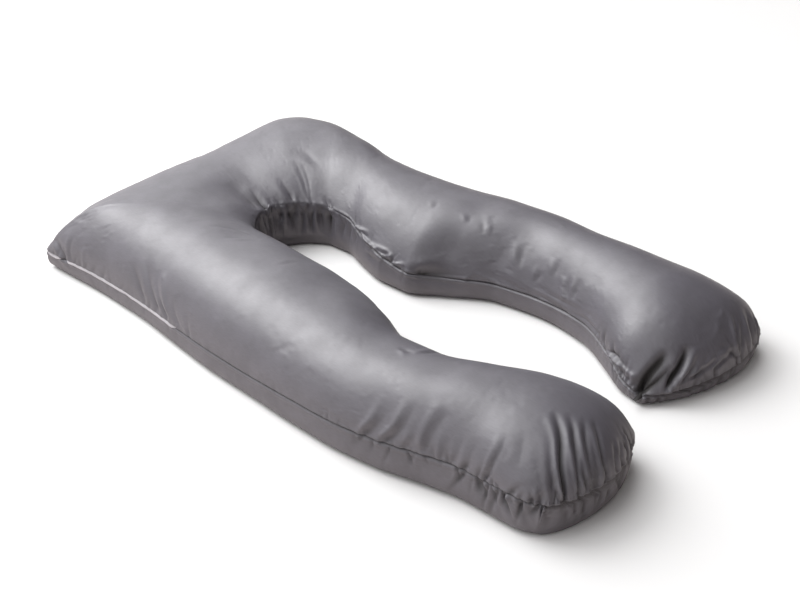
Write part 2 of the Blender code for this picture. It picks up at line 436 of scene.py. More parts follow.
# The camera stands off the near arm's open end, to its outer side, and looks down over both arms.
CAMERA_AZIMUTH, CAMERA_ELEVATION = math.radians(-50), math.radians(34)
CAMERA_TARGET = Vector((0.0325, -0.0117, 0.0))
CAMERA_DISTANCE = 2.92
CAMERA_LENS = 61.9


def place_camera():
    lens = bpy.data.cameras.new("camera")
    lens.lens = CAMERA_LENS
    lens.sensor_width = 36
    camera = bpy.data.objects.new("camera", lens)
    bpy.context.scene.collection.objects.link(camera)
    level = math.cos(CAMERA_ELEVATION)
    away, across = -math.cos(CAMERA_AZIMUTH) * level, math.sin(CAMERA_AZIMUTH) * level
    back = Vector((across, away, math.sin(CAMERA_ELEVATION)))
    camera.location = CAMERA_TARGET + back * CAMERA_DISTANCE
    camera.rotation_euler = (-back).to_track_quat("-Z", "Y").to_euler()
    bpy.context.scene.camera = camera


FLOOR_SIZE = 14.0
PAPER = "#F2F2F2"
PAPER_BOUNCE = "#E2DAD6"  # the light it throws back on to the cloth is a little warmer and weaker


def white_floor():
    """Matt white background paper, over-exposed but for the pillow's soft shadow."""
    half = FLOOR_SIZE / 2
    corners = [(-half, -half, 0), (half, -half, 0), (half, half, 0), (-half, half, 0)]
    mesh = bpy.data.meshes.new("floor")
    mesh.from_pydata(corners, [], [(0, 1, 2, 3)])
    floor = bpy.data.objects.new("floor", mesh)
    bpy.context.scene.collection.objects.link(floor)
    paper = bpy.data.materials.new("white background paper")
    paper.use_nodes = True
    surface = paper.node_tree.nodes["Principled BSDF"]
    surface.inputs["Roughness"].default_value = 0.9
    surface.inputs["Specular IOR Level"].default_value = 0.1
    tree = paper.node_tree
    seen = add(tree, "ShaderNodeLightPath").outputs["Is Camera Ray"]
    shades = {6: linear(PAPER_BOUNCE), 7: linear(PAPER)}
    shade = add(tree, "ShaderNodeMix", {"data_type": "RGBA"}, shades, {0: seen}).outputs[2]
    tree.links.new(shade, surface.inputs["Base Color"])
    mesh.materials.append(paper)


SKY = "#FFE2DA"  # the studio's walls, faint and warm
SKY_STRENGTH = 0.05
# Soft lights: name, where from, how wide across in degrees, and strength.
SOFT_LIGHTS = [
    ("side scrim", (-0.90, 0.35, 0.80), 110, 1.6),
    ("back wall", (0.40, 0.80, 0.45), 60, 1.0),
    ("broad soft box", (-0.05, 0.55, 0.83), 60, 1.8),
]
# And one near lamp behind the head: where it stands in metres, how wide it is, and its watts.
NEAR_BOX = ("near soft box", (-0.4, 1.5, 1.9), 1.8, 32)


def hang_lamp(lamp, place):
    """Hangs a lamp at a place, facing the middle of the pillow."""
    light = bpy.data.objects.new(lamp.name, lamp)
    bpy.context.scene.collection.objects.link(light)
    light.location = place
    light.rotation_euler = (-Vector(place)).to_track_quat("-Z", "Y").to_euler()


def studio_light():
    """Broad soft light from above, the side and behind, with faint warm walls round it."""
    scene = bpy.context.scene
    scene.view_settings.view_transform = "Standard"
    world = bpy.data.worlds.new("studio walls")
    world.use_nodes = True
    sky = world.node_tree.nodes["Background"]
    sky.inputs["Color"].default_value = linear(SKY)
    sky.inputs["Strength"].default_value = SKY_STRENGTH
    scene.world = world
    for name, come_from, wide, strength in SOFT_LIGHTS:
        lamp = bpy.data.lights.new(name, "SUN")
        lamp.energy = strength
        lamp.angle = math.radians(wide)
        hang_lamp(lamp, come_from)
    name, place, wide, watts = NEAR_BOX
    lamp = bpy.data.lights.new(name, "AREA")
    lamp.shape = "DISK"
    lamp.size = wide
    lamp.energy = watts
    hang_lamp(lamp, place)


YARN_STREAK = (0.0016, 0.014)  # real floats are 0.1 by 1.5 mm, too fine to show, so they're drawn coarser
HANDLING_MARKS = 0.055  # soft patches where the nap has been stroked either way
CRINKLE = 0.011  # the smallest crinkles, along the seams
PAINTED_FOLD_SHADE = "#1E1A1A"  # painted shade: the colour is darkened towards this where the cloth is folded in on itself and little light reaches
DULL_IN_FOLD = 0.35  # and it shines that much less
ROUGHNESS_CHANGE = 0.04  # between the handling marks


def satin_weave(name, base, shaded, roughness):
    """Polyester satin, woven with long floating yarns: broad soft highlights that follow every
    fold, over fine streaks along the yarn, and a little darker where the cloth was handled. Deep
    in its folds, its seam's groove and its puckers the colour is darkened as painted shade."""
    material = bpy.data.materials.new(name)
    material.use_nodes = True
    tree = material.node_tree
    surface = tree.nodes["Principled BSDF"]
    surface.inputs["Specular IOR Level"].default_value = 1.0
    surface.inputs["Sheen Weight"].default_value = 0.04
    surface.inputs["Sheen Roughness"].default_value = 0.4
    cloth = add(tree, "ShaderNodeUVMap", {"uv_map": "cloth"}).outputs["UV"]
    crumple = add(tree, "ShaderNodeAttribute", {"attribute_name": "crumple"}).outputs["Fac"]
    folded = add(tree, "ShaderNodeAttribute", {"attribute_name": "folded"}).outputs["Fac"]
    yarn_scale = (1 / YARN_STREAK[0], 1 / YARN_STREAK[1], 1)
    along_yarn = add(tree, "ShaderNodeMapping", {}, {"Scale": yarn_scale}, {"Vector": cloth}).outputs[0]
    fine = {"Scale": 1.0, "Detail": 3.0, "Roughness": 0.6}
    streaks = add(tree, "ShaderNodeTexNoise", {}, fine, {"Vector": along_yarn}).outputs["Fac"]
    broad = {"Scale": 1 / HANDLING_MARKS, "Detail": 3.0}
    marks = add(tree, "ShaderNodeTexNoise", {}, broad, {"Vector": cloth}).outputs["Fac"]
    ridged = {"noise_type": "RIDGED_MULTIFRACTAL"}
    small = {"Scale": 1 / CRINKLE, "Detail": 3.0, "Distortion": 0.6}
    crinkles = add(tree, "ShaderNodeTexNoise", ridged, small, {"Vector": cloth}).outputs["Fac"]

    half_shade = {"From Min": 0.35, "From Max": 0.65, "To Min": 0.0, "To Max": 0.5}
    shade = add(tree, "ShaderNodeMapRange", {}, half_shade, {"Value": marks}).outputs["Result"]
    fleck = add(tree, "ShaderNodeMapRange", {}, half_shade, {"Value": streaks}).outputs["Result"]
    shades = add(tree, "ShaderNodeMath", {"operation": "ADD"}, {}, {0: shade, 1: fleck}).outputs[0]
    yarns = {6: linear(base), 7: linear(shaded)}
    colour = add(tree, "ShaderNodeMix", {"data_type": "RGBA"}, yarns, {0: shades}).outputs[2]
    # Painted shade: the folded mask darkens the colour towards the painted fold shade, in deep creases, the
    # seam's groove and deep puckers.
    dark = {7: linear(PAINTED_FOLD_SHADE)}
    painted_shade_colour = add(tree, "ShaderNodeMix", {"data_type": "RGBA"}, dark, {0: folded, 6: colour}).outputs[2]
    tree.links.new(painted_shade_colour, surface.inputs["Base Color"])

    uneven = {
        "From Min": 0.3,
        "From Max": 0.7,
        "To Min": roughness - ROUGHNESS_CHANGE,
        "To Max": roughness + ROUGHNESS_CHANGE,
    }
    rough = add(tree, "ShaderNodeMapRange", {}, uneven, {"Value": marks}).outputs["Result"]
    less_shine = {"To Min": 0.0, "To Max": DULL_IN_FOLD}
    dull = add(tree, "ShaderNodeMapRange", {}, less_shine, {"Value": folded}).outputs["Result"]
    duller = add(tree, "ShaderNodeMath", {"operation": "ADD"}, {}, {0: rough, 1: dull}).outputs[0]
    tree.links.new(duller, surface.inputs["Roughness"])

    times = {"operation": "MULTIPLY"}
    height = add(tree, "ShaderNodeMath", times, {}, {0: crinkles, 1: crumple}).outputs[0]
    crinkled = {"Strength": 0.5, "Distance": 0.0010}
    folds = add(tree, "ShaderNodeBump", {}, crinkled, {"Height": height}).outputs["Normal"]
    woven = {"Strength": 0.35, "Distance": 0.00025}
    relief = add(tree, "ShaderNodeBump", {}, woven, {"Height": streaks, "Normal": folds}).outputs["Normal"]
    tree.links.new(relief, surface.inputs["Normal"])
    return material


TWIST_SCALE = 400.0  # bands about 0.8 mm apart, as the thread's own twist


def sewing_thread():
    """Twisted polyester thread: a little darker and duller than the satin, so that stitches show."""
    material = bpy.data.materials.new("sewing thread")
    material.use_nodes = True
    tree = material.node_tree
    surface = tree.nodes["Principled BSDF"]
    surface.inputs["Roughness"].default_value = 0.6
    place = add(tree, "ShaderNodeTexCoord").outputs["Object"]
    strands = {"Scale": TWIST_SCALE, "Distortion": 1.5, "Detail": 1.0}
    twist = add(tree, "ShaderNodeTexWave", {}, strands, {"Vector": place}).outputs["Fac"]
    shades = {6: linear("#3C3A3E"), 7: linear("#4A484D")}
    colour = add(tree, "ShaderNodeMix", {"data_type": "RGBA"}, shades, {0: twist}).outputs[2]
    tree.links.new(colour, surface.inputs["Base Color"])
    return material


# Creases, each along a line of (row, turn) places, from its deep end to its shallow one.
# width is the trough's half width and depth how far it sinks; a negative depth is a ridge. lip is the
# rise beside it, in shares of depth, on the side towards higher rows where it is positive.
Crease = namedtuple("Crease", "line width depth lip")
CREASES = [
    # The near arm's end: the cloth is drawn down into the corner of the end seam.
    Crease([(0.0, 0.22), (0.60, 0.30), (1.00, 0.375), (1.40, 0.465)], 0.0056, 0.0170, 0.3),
    Crease([(0.0, 0.30), (0.40, 0.355), (0.84, 0.415), (1.25, 0.49)], 0.0050, 0.0140, 0.3),
    Crease([(0.0, 0.262), (0.28, 0.30), (0.82, 0.38)], 0.0040, -0.0040, 0.0),
    Crease([(0.0, 0.375), (0.40, 0.415), (0.76, 0.46), (1.08, 0.52)], 0.0046, 0.0085, 0.4),
    Crease([(0.0, 0.335), (0.25, 0.365), (0.50, 0.40)], 0.0040, 0.0060, 0.5),
    Crease([(0.0, 0.435), (0.14, 0.44), (0.56, 0.48), (0.95, 0.525)], 0.0040, -0.0050, 0.0),
    Crease([(0.0, 0.465), (0.20, 0.47), (0.60, 0.51), (0.95, 0.55)], 0.0048, 0.0085, 0.2),
    Crease([(0.0, 0.52), (0.14, 0.54), (0.38, 0.575)], 0.0045, 0.0050, 0.4),
    Crease([(0.0, 0.57), (0.16, 0.59), (0.34, 0.61)], 0.0045, 0.0040, 0.4),
    Crease([(0.02, 0.145), (0.52, 0.235), (0.96, 0.32), (1.26, 0.385)], 0.0070, 0.0026, 0.5),
    Crease([(0.12, 0.0), (0.25, 0.08), (0.36, 0.15)], 0.0055, 0.0065, 0.7),
    Crease([(0.35, 0.0), (0.45, 0.06), (0.50, 0.10)], 0.0045, 0.0035, 0.6),
    Crease([(1.62, 0.02), (1.57, 0.10), (1.56, 0.20), (1.62, 0.27)], 0.0060, 0.0045, 0.6),
    Crease([(1.20, 0.17), (1.32, 0.24), (1.46, 0.32)], 0.0100, 0.0022, 0.6),
    Crease([(1.44, 0.15), (1.47, 0.20), (1.50, 0.26)], 0.0080, 0.0020, 0.6),
    Crease([(2.02, 0.02), (1.98, 0.10), (1.94, 0.21)], 0.0075, 0.0022, 0.6),
    Crease([(2.30, 0.02), (2.27, 0.10), (2.24, 0.18)], 0.0070, 0.0018, 0.6),
    # The near arm's outer side, where it narrows.
    Crease([(2.98, 0.04), (2.96, 0.12), (2.86, 0.22), (2.75, 0.27)], 0.0095, 0.0050, 0.6),
    Crease([(3.82, 0.01), (3.62, 0.08), (3.50, 0.16), (3.44, 0.28)], 0.0080, 0.0075, 0.7),
    Crease([(4.22, 0.01), (4.05, 0.08), (3.96, 0.14), (3.88, 0.24)], 0.0085, 0.0065, 0.7),
    Crease([(3.40, 0.01), (3.30, 0.06), (3.22, 0.12)], 0.0060, 0.0030, 0.6),
    Crease([(2.62, 0.01), (2.60, 0.08), (2.56, 0.16)], 0.0065, 0.0028, 0.6),
    # Small ones at the near arm's inner side.
    Crease([(4.55, 0.56), (4.36, 0.57), (4.18, 0.56)], 0.0065, 0.0040, -0.5),
    Crease([(4.16, 0.56), (4.02, 0.65), (3.96, 0.76)], 0.0060, 0.0030, 0.5),
    Crease([(4.40, 0.80), (4.30, 0.90), (4.25, 1.00)], 0.0060, 0.0030, 0.5),
    Crease([(7.90, 0.53), (7.84, 0.58), (7.82, 0.66)], 0.0055, 0.0012, 0.3),
    # Soft falls of cloth above the placket.
    Crease([(9.40, 0.03), (9.55, 0.08), (9.75, 0.15), (9.98, 0.22)], 0.0100, 0.0045, -0.5),
    Crease([(9.20, 0.03), (9.40, 0.09), (9.60, 0.17), (9.66, 0.21)], 0.0085, 0.0045, -0.6),
    Crease([(9.75, 0.04), (9.98, 0.12), (10.25, 0.18)], 0.0100, 0.0035, -0.5),
    Crease([(8.85, 0.03), (9.00, 0.08), (9.10, 0.13)], 0.0080, 0.0025, 0.5),
    Crease([(8.55, 0.02), (8.62, 0.07), (8.66, 0.12)], 0.0070, 0.0018, 0.5),
    # The ear is folded over on itself.
    Crease([(11.42, 0.0), (11.50, 0.05), (11.80, 0.12), (12.40, 0.10)], 0.0080, 0.0060, 0.6),
    Crease([(11.30, 0.02), (11.38, 0.10), (11.46, 0.20)], 0.0060, 0.0022, 0.6),
    Crease([(11.05, 0.02), (11.12, 0.10), (11.15, 0.16)], 0.0050, -0.0015, 0.0),
    # Drawn towards the arch inside the head.
    Crease([(13.80, 0.92), (14.00, 0.84), (14.22, 0.74), (14.45, 0.62)], 0.0150, 0.0085, 0.2),
    Crease([(14.55, 0.99), (14.48, 0.90), (14.60, 0.80), (14.80, 0.71)], 0.0100, 0.0085, 0.25),
    Crease([(15.35, 1.00), (15.20, 0.92), (15.15, 0.84)], 0.0070, 0.0030, 0.6),
    Crease([(15.75, 1.00), (15.60, 0.92), (15.50, 0.84)], 0.0060, 0.0025, 0.6),
    Crease([(16.55, 0.93), (16.42, 0.86), (16.14, 0.73)], 0.0070, 0.0045, 0.3),
    Crease([(17.62, 0.90), (17.44, 0.79), (17.10, 0.67)], 0.0045, 0.0020, 0.3),
    Crease([(17.92, 0.90), (17.72, 0.78), (17.45, 0.67)], 0.0045, 0.0016, 0.3),
    Crease([(18.00, 0.97), (17.85, 0.90), (17.70, 0.84)], 0.0045, 0.0018, 0.6),
    Crease([(18.55, 0.71), (17.95, 0.66), (17.46, 0.62)], 0.0100, 0.0030, 0.6),
    Crease([(18.95, 0.99), (18.82, 0.92), (18.66, 0.86)], 0.0050, 0.0035, 0.6),
    Crease([(19.15, 0.98), (19.05, 0.92), (18.95, 0.88)], 0.0045, 0.0025, 0.6),
    Crease([(9.30, 0.68), (9.60, 0.65), (10.00, 0.56)], 0.0050, 0.0050, 0.5),
    Crease([(9.05, 0.64), (9.20, 0.59), (9.36, 0.53)], 0.0050, 0.0040, 0.5),
    Crease([(9.28, 0.66), (9.45, 0.62), (9.60, 0.58)], 0.0040, -0.0015, 0.0),
    # The pinch where the far arm leaves the head.
    Crease([(20.80, 0.99), (21.05, 0.96), (21.38, 0.92)], 0.0050, 0.0070, 0.6),
    Crease([(20.95, 1.00), (21.35, 1.01), (21.80, 1.00), (22.10, 0.98)], 0.0050, 0.0050, 0.8),
    Crease([(21.55, 0.94), (21.90, 0.92), (22.20, 0.93), (22.28, 0.98)], 0.0045, 0.0035, 0.7),
    Crease([(21.20, 0.98), (21.50, 0.965), (21.75, 0.975)], 0.0050, -0.0055, 0.0),
    Crease([(22.10, 0.995), (22.35, 0.96), (22.50, 0.93)], 0.0055, 0.0050, 0.7),
    Crease([(22.60, 0.998), (22.80, 0.97), (23.10, 0.95)], 0.0050, 0.0040, 0.7),
    Crease([(21.30, 1.10), (21.60, 1.08), (21.95, 1.05)], 0.0060, 0.0045, 0.6),
    Crease([(20.60, 1.15), (20.75, 1.06), (20.85, 1.01)], 0.0060, 0.0040, 0.6),
    # The hollow above the far arm's inner seam.
    Crease([(23.35, 0.955), (23.90, 0.945), (24.40, 0.955)], 0.0160, 0.0100, 0.25),
    Crease([(23.35, 0.995), (23.90, 0.992), (24.40, 0.996)], 0.0035, -0.0025, 0.0),
    Crease([(23.50, 0.99), (23.55, 0.97), (23.62, 0.95)], 0.0040, 0.0020, 0.6),
    Crease([(24.45, 0.99), (24.55, 0.95), (24.62, 0.90)], 0.0050, 0.0020, 0.6),
    # Long creases down to the far arm's inner seam.
    Crease([(26.60, 0.975), (26.02, 0.945), (25.45, 0.92), (24.70, 0.865)], 0.0058, 0.0032, -0.3),
    Crease([(27.25, 0.93), (26.65, 0.915), (26.20, 0.905), (25.72, 0.885)], 0.0052, 0.0026, -0.3),
    Crease([(25.00, 0.995), (24.75, 0.97), (24.45, 0.93)], 0.0050, 0.0025, -0.6),
    Crease([(25.90, 0.975), (25.50, 0.955), (25.10, 0.93)], 0.0045, 0.0022, -0.6),
    Crease([(27.60, 0.97), (27.10, 0.955), (26.70, 0.945)], 0.0045, 0.0025, -0.6),
    # Short ridges across the far arm.
    Crease([(24.36, 0.69), (24.24, 0.63), (24.14, 0.57)], 0.0080, 0.0035, -0.8),
    Crease([(24.48, 0.67), (24.38, 0.62), (24.30, 0.56)], 0.0075, 0.0032, 0.8),
    Crease([(23.95, 0.64), (23.88, 0.61), (23.82, 0.58)], 0.0070, 0.0018, 0.8),
    Crease([(25.36, 0.81), (25.26, 0.75), (25.18, 0.68)], 0.0075, 0.0040, 0.7),
    Crease([(26.08, 0.80), (26.04, 0.75), (26.00, 0.70)], 0.0070, 0.0030, 0.7),
    Crease([(26.54, 0.91), (26.46, 0.84), (26.40, 0.77)], 0.0065, 0.0038, 0.7),
    Crease([(26.68, 0.89), (26.66, 0.82), (26.64, 0.76)], 0.0060, 0.0032, 0.7),
    Crease([(25.74, 0.86), (25.76, 0.82), (25.80, 0.79)], 0.0065, 0.0024, 0.7),
    Crease([(22.98, 0.60), (22.96, 0.57), (22.90, 0.54)], 0.0060, 0.0014, 0.6),
    # The far arm's end: three deep folds run down to the tip.
    Crease(
        [(29.92, 1.01), (29.74, 0.91), (29.62, 0.84), (29.53, 0.765), (29.42, 0.715)], 0.0100, 0.0330, -0.08
    ),
    Crease([(29.96, 0.93), (29.90, 0.86), (29.80, 0.77), (29.70, 0.72)], 0.0130, 0.0160, 0.1),
    Crease([(29.97, 0.765), (29.80, 0.70), (29.66, 0.66), (29.50, 0.64)], 0.0075, 0.0190, -0.3),
    Crease([(29.97, 0.70), (29.88, 0.65), (29.72, 0.61)], 0.0070, 0.0060, 0.5),
    Crease([(29.97, 0.64), (29.90, 0.60), (29.80, 0.57)], 0.0060, 0.0035, 0.5),
    Crease([(28.10, 0.97), (28.45, 0.94), (28.85, 0.93), (29.20, 0.93)], 0.0060, 0.0060, -0.7),
    Crease([(28.40, 0.99), (28.80, 0.97), (29.30, 0.96), (29.55, 0.95)], 0.0055, 0.0050, 0.8),
    Crease([(28.30, 0.98), (28.22, 0.94), (28.15, 0.90)], 0.0050, 0.0040, 0.25),
    Crease([(28.95, 0.98), (28.80, 0.93), (28.65, 0.90)], 0.0050, 0.0045, 0.25),
    Crease([(29.30, 0.97), (29.20, 0.93), (29.10, 0.90)], 0.0050, 0.0045, 0.25),
    Crease([(29.60, 0.96), (29.52, 0.92), (29.45, 0.89)], 0.0050, 0.0040, 0.25),
    Crease([(29.96, 0.665), (29.95, 0.615), (29.90, 0.56), (29.82, 0.52)], 0.0046, 0.0050, 0.5),
    Crease([(29.90, 0.62), (29.88, 0.56), (29.85, 0.49), (29.78, 0.45)], 0.0042, -0.0040, 0.0),
    Crease([(29.97, 0.56), (29.93, 0.50), (29.90, 0.41)], 0.0044, 0.0050, 0.5),
    Crease([(29.96, 0.445), (29.86, 0.48), (29.72, 0.505)], 0.0050, 0.0040, 0.4),
    Crease([(29.94, 0.415), (29.68, 0.405), (29.36, 0.38)], 0.0050, 0.0055, 0.5),
    Crease([(29.90, 0.435), (29.66, 0.425), (29.40, 0.40)], 0.0040, -0.0035, 0.0),
    Crease([(29.20, 0.42), (29.30, 0.44), (29.40, 0.50)], 0.0055, -0.0022, 0.0),
    Crease([(29.98, 0.34), (29.75, 0.34), (29.40, 0.32)], 0.0046, -0.0055, 0.0),
    Crease([(29.98, 0.30), (29.70, 0.29), (29.35, 0.27)], 0.0075, 0.0050, 0.5),
    Crease([(29.95, 0.45), (29.70, 0.42), (29.45, 0.39)], 0.0060, -0.0025, 0.0),
    Crease([(29.65, 0.53), (29.50, 0.49), (29.40, 0.46)], 0.0080, -0.0025, 0.0),
    Crease([(29.98, 0.40), (29.80, 0.38), (29.60, 0.36)], 0.0060, 0.0045, 0.5),
    Crease([(29.95, 0.22), (29.70, 0.20), (29.45, 0.20)], 0.0060, 0.0035, 0.6),
    Crease([(29.95, 0.14), (29.75, 0.12), (29.55, 0.13)], 0.0060, 0.0035, 0.6),
]

# The arch's wall hangs in uneven pleats from the inner seam to just above the floor.
CREASES += [
    Crease([(13.55, 1.04), (13.60, 1.20), (13.62, 1.40)], 0.0065, 0.0060, 0.35),
    Crease([(14.10, 1.04), (14.12, 1.15), (14.10, 1.34)], 0.0075, 0.0055, 0.3),
    Crease([(14.64, 1.04), (14.68, 1.18), (14.62, 1.42)], 0.0080, 0.0075, -0.35),
    Crease([(15.12, 1.04), (15.20, 1.14), (15.40, 1.30)], 0.0060, 0.0045, 0.35),
    Crease([(15.62, 1.04), (15.60, 1.08), (15.52, 1.12)], 0.0085, 0.0080, 0.3),
    Crease([(16.18, 1.04), (16.26, 1.08), (16.38, 1.16), (16.64, 1.44)], 0.0085, 0.0115, -0.35),
    Crease([(16.50, 1.04), (16.52, 1.07), (16.46, 1.10)], 0.0065, 0.0070, 0.3),
    Crease([(17.02, 1.04), (17.06, 1.10), (16.92, 1.26), (16.78, 1.42)], 0.0060, 0.0080, 0.35),
    Crease([(17.50, 1.04), (17.62, 1.12), (17.86, 1.36)], 0.0060, 0.0060, -0.35),
    Crease([(17.95, 1.04), (17.84, 1.08), (17.80, 1.22), (17.96, 1.42)], 0.0055, 0.0070, 0.35),
    Crease([(18.40, 1.04), (18.46, 1.10), (18.60, 1.38)], 0.0065, 0.0075, -0.3),
    Crease([(18.95, 1.04), (18.94, 1.10), (18.90, 1.44)], 0.0095, 0.0130, 0.3),
    Crease([(19.35, 1.04), (19.30, 1.15), (19.36, 1.35)], 0.0070, 0.0040, 0.3),
    Crease([(19.90, 1.04), (19.80, 1.15), (19.86, 1.30)], 0.0070, 0.0040, 0.3),
    Crease([(20.30, 1.04), (20.22, 1.12), (20.28, 1.24)], 0.0070, 0.0040, 0.3),
    # Under the pleats the wall's foot rolls out on to the floor.
    Crease([(13.2, 1.47), (15.0, 1.50), (17.5, 1.50), (20.4, 1.46)], 0.0060, 0.0050, 0.0),
    Crease([(13.0, 1.66), (15.0, 1.70), (17.5, 1.70), (20.6, 1.66)], 0.0090, -0.0100, 0.0),
]

# Puckers where the seam has drawn the cloth up. They start at the seam, above or below it, at
# uneven steps, and reach over the cloth as far as length, in metres.
Puckers = namedtuple("Puckers", "part first last above step length depth")
PUCKERS = [
    Puckers("outer", 0.0, 2.4, False, 0.010, 0.060, 0.0062),
    Puckers("outer", 2.4, 4.6, False, 0.018, 0.045, 0.0030),
    Puckers("outer", 0.2, 2.6, True, 0.012, 0.034, 0.0030),
    Puckers("outer", 2.6, 5.2, True, 0.014, 0.026, 0.0020),
    Puckers("outer", 5.2, 8.8, True, 0.017, 0.014, 0.0010),
    Puckers("outer", 8.8, 11.8, True, 0.016, 0.030, 0.0014),
    Puckers("outer", 8.8, 11.8, False, 0.020, 0.022, 0.0012),
    Puckers("outer", 12.3, 17.0, True, 0.022, 0.022, 0.0012),
    Puckers("outer", 12.3, 17.0, False, 0.020, 0.034, 0.0018),
    Puckers("outer", 17.0, 27.5, True, 0.020, 0.022, 0.0014),
    Puckers("outer", 17.0, 27.5, False, 0.017, 0.030, 0.0018),
    Puckers("outer", 27.5, 29.6, True, 0.012, 0.060, 0.0034),
    Puckers("outer", 27.5, 29.6, False, 0.012, 0.045, 0.0034),
    Puckers("far end", 0.12, 1.0, True, 0.011, 0.060, 0.0036),
    Puckers("far end", 0.12, 1.0, False, 0.012, 0.050, 0.0050),
    Puckers("near end", 0.14, 1.0, True, 0.010, 0.060, 0.0036),
    Puckers("near end", 0.14, 1.0, False, 0.012, 0.060, 0.0060),
    Puckers("inner", 0.4, 1.6, True, 0.012, 0.045, 0.0032),
    Puckers("inner", 0.4, 1.6, False, 0.013, 0.045, 0.0030),
    Puckers("inner", 1.6, 12.0, True, 0.020, 0.024, 0.0014),
    Puckers("inner", 1.6, 12.0, False, 0.020, 0.045, 0.0022),
    Puckers("inner", 12.0, 20.5, True, 0.013, 0.028, 0.0009),
    Puckers("inner", 12.0, 20.5, False, 0.012, 0.034, 0.0022),
    Puckers("inner", 20.5, 23.2, True, 0.014, 0.028, 0.0018),
    Puckers("inner", 20.5, 23.2, False, 0.016, 0.026, 0.0014),
    Puckers("inner", 23.2, 27.4, True, 0.016, 0.014, 0.0008),
    Puckers("inner", 23.2, 27.4, False, 0.030, 0.018, 0.0008),
    Puckers("inner", 27.4, 29.8, True, 0.010, 0.046, 0.0026),
    Puckers("inner", 27.4, 29.8, False, 0.013, 0.032, 0.0024),
]
PUCKER_WIDTH = 0.0036
PUCKER_RISE = 0.008  # the stitching holds a pucker flatter than it is a little further off
PUCKER_SEED = 11
LONGEST = 1.6  # no pucker is longer than this many times its zone's length
PAST_ZONE = 0.03  # how far past its zone a slanting one may reach


def crease_points(line, count=28):
    """Points along a crease on the cover, from its deep end to its shallow one."""
    rows, turns = np.array(line).T
    share = np.linspace(0, len(line) - 1, count)
    rows = between_rows(rows, share, limited=False)
    turns = between_rows(turns, share, limited=False)
    return cover_at(rows, drawn_turns(rows, turns)) - MIDDLE


def drawn_turns(rows, turns):
    """The turns that lie over the same places where the cloth is drawn towards the inner seam."""
    even = np.linspace(0, 1, 201)
    pinch = inner_pinch(rows)[:, None] * (even > 0.5)
    shares = (1 - pinch) * (1 - np.cos(math.pi * even)) / 2 + pinch * even
    wanted = (1 - np.cos(math.pi * turns.clip(0, 1))) / 2
    found = [np.interp(share, over, even) for share, over in zip(wanted, shares)]
    return np.where((turns < 0) | (turns > 1), turns, found)


CREASE_REACH = 4  # beyond this many widths a crease moves nothing
LIP_FROM_TROUGH = 1.9  # in widths from the crease's middle
LIP_BREADTH = 0.9
NEAR_SEAM = 0.06  # a crease that starts this near a seam, in rows or turns, runs in under it


def crease_depths(crease, points, normals):
    """Which of the points a crease moves, and how far each goes outwards."""
    path = crease_points(crease.line)
    reach = CREASE_REACH * crease.width
    lowest, highest = path.min(axis=0) - reach, path.max(axis=0) + reach
    chosen = np.flatnonzero(np.all((points > lowest) & (points < highest), axis=-1))
    starts, steps = path[:-1], np.diff(path, axis=0)
    offset = points[chosen, None] - starts
    along = np.clip(np.sum(offset * steps, axis=-1) / np.sum(steps * steps, axis=-1), 0, 1)
    apart = offset - along[..., None] * steps
    distance = np.linalg.norm(apart, axis=-1)
    best = np.argmin(distance, axis=1)
    index = np.arange(len(chosen))
    share = (best + along[index, best]) / len(steps)
    side = np.cross(steps[best], apart[index, best])
    side = np.sign(np.sum(side * normals[chosen], axis=-1))
    width = crease.width * (0.75 + 0.6 * share)
    across = distance[index, best] / width
    trough = 0.5 * np.exp(-(across**2)) + 0.5 * np.exp(-2.4 * across)
    lip_side = across * side * math.copysign(1, crease.lip)
    lip = abs(crease.lip) * np.exp(-(((lip_side - LIP_FROM_TROUGH) / LIP_BREADTH) ** 2))
    row, turn = crease.line[0]
    at_seam = min(row, LAST_ROW - row, abs(turn), abs(1 - turn)) < NEAR_SEAM
    start = share / 0.15 + 0.5 if at_seam else share / 0.45  # it fades in, and faster at a seam
    fade = (1 - share**2) * np.clip(start, 0, 1)
    return chosen, crease.depth * fade * (lip - trough)


Seam = namedtuple("Seam", "run distance above spans")


def follow_seam(points, turns):
    """Each point's nearest place on the seam, which runs round the whole cover: how far along it
    that is, how far off over the cloth, and which side of it."""
    inner = inner_column(turns)
    outer_run = run_along(points[:, 0])
    inner_run = run_along(points[::-1, inner])
    far_line, near_line = points[-1, : inner + 1], points[0, inner::-1]
    far_run, near_run = run_along(far_line), run_along(near_line)
    starts = np.cumsum([0, outer_run[-1], far_run[-1], inner_run[-1], near_run[-1]])

    to_outer, to_inner = seam_distances(points, turns)
    distance = np.minimum(to_outer, to_inner)
    at_outer = np.broadcast_to(outer_run[:, None], distance.shape)
    at_inner = np.broadcast_to(starts[2] + inner_run[::-1, None], distance.shape)
    run = np.where(to_outer < to_inner, at_outer, at_inner)
    for line, line_run, start, rows in (
        (far_line, far_run, starts[1], slice(-END_STATIONS, None)),
        (near_line, near_run, starts[3], slice(0, END_STATIONS)),
    ):
        gaps = np.linalg.norm(points[rows][:, :, None] - line, axis=-1)
        best = np.argmin(gaps, axis=-1)
        gap = np.min(gaps, axis=-1)
        closer = gap < distance[rows]
        run[rows] = np.where(closer, start + line_run[best], run[rows])
        distance[rows] = np.where(closer, gap, distance[rows])
    above = np.broadcast_to((turns >= 0) & (turns <= 1), distance.shape)
    return Seam(run, distance, above, starts)


def run_along(line):
    """How far along a line each of its points is."""
    return np.concatenate([[0], np.cumsum(np.linalg.norm(np.diff(line, axis=0), axis=-1))])


def part_of_seam(part, first, last, places, seam, points, inner):
    """Where a zone of the seam starts and ends along its run: between two rows of a side, or two
    shares of an arm's end."""
    if part == "outer":
        return np.interp([first, last], places, run_along(points[:, 0]))
    if part == "inner":
        run = seam.spans[3] - run_along(points[:, inner])
        return np.sort(np.interp([first, last], places, run))
    start, end = seam.spans[1:3] if part == "far end" else seam.spans[3:5]
    return np.array([start + first * (end - start), start + last * (end - start)])


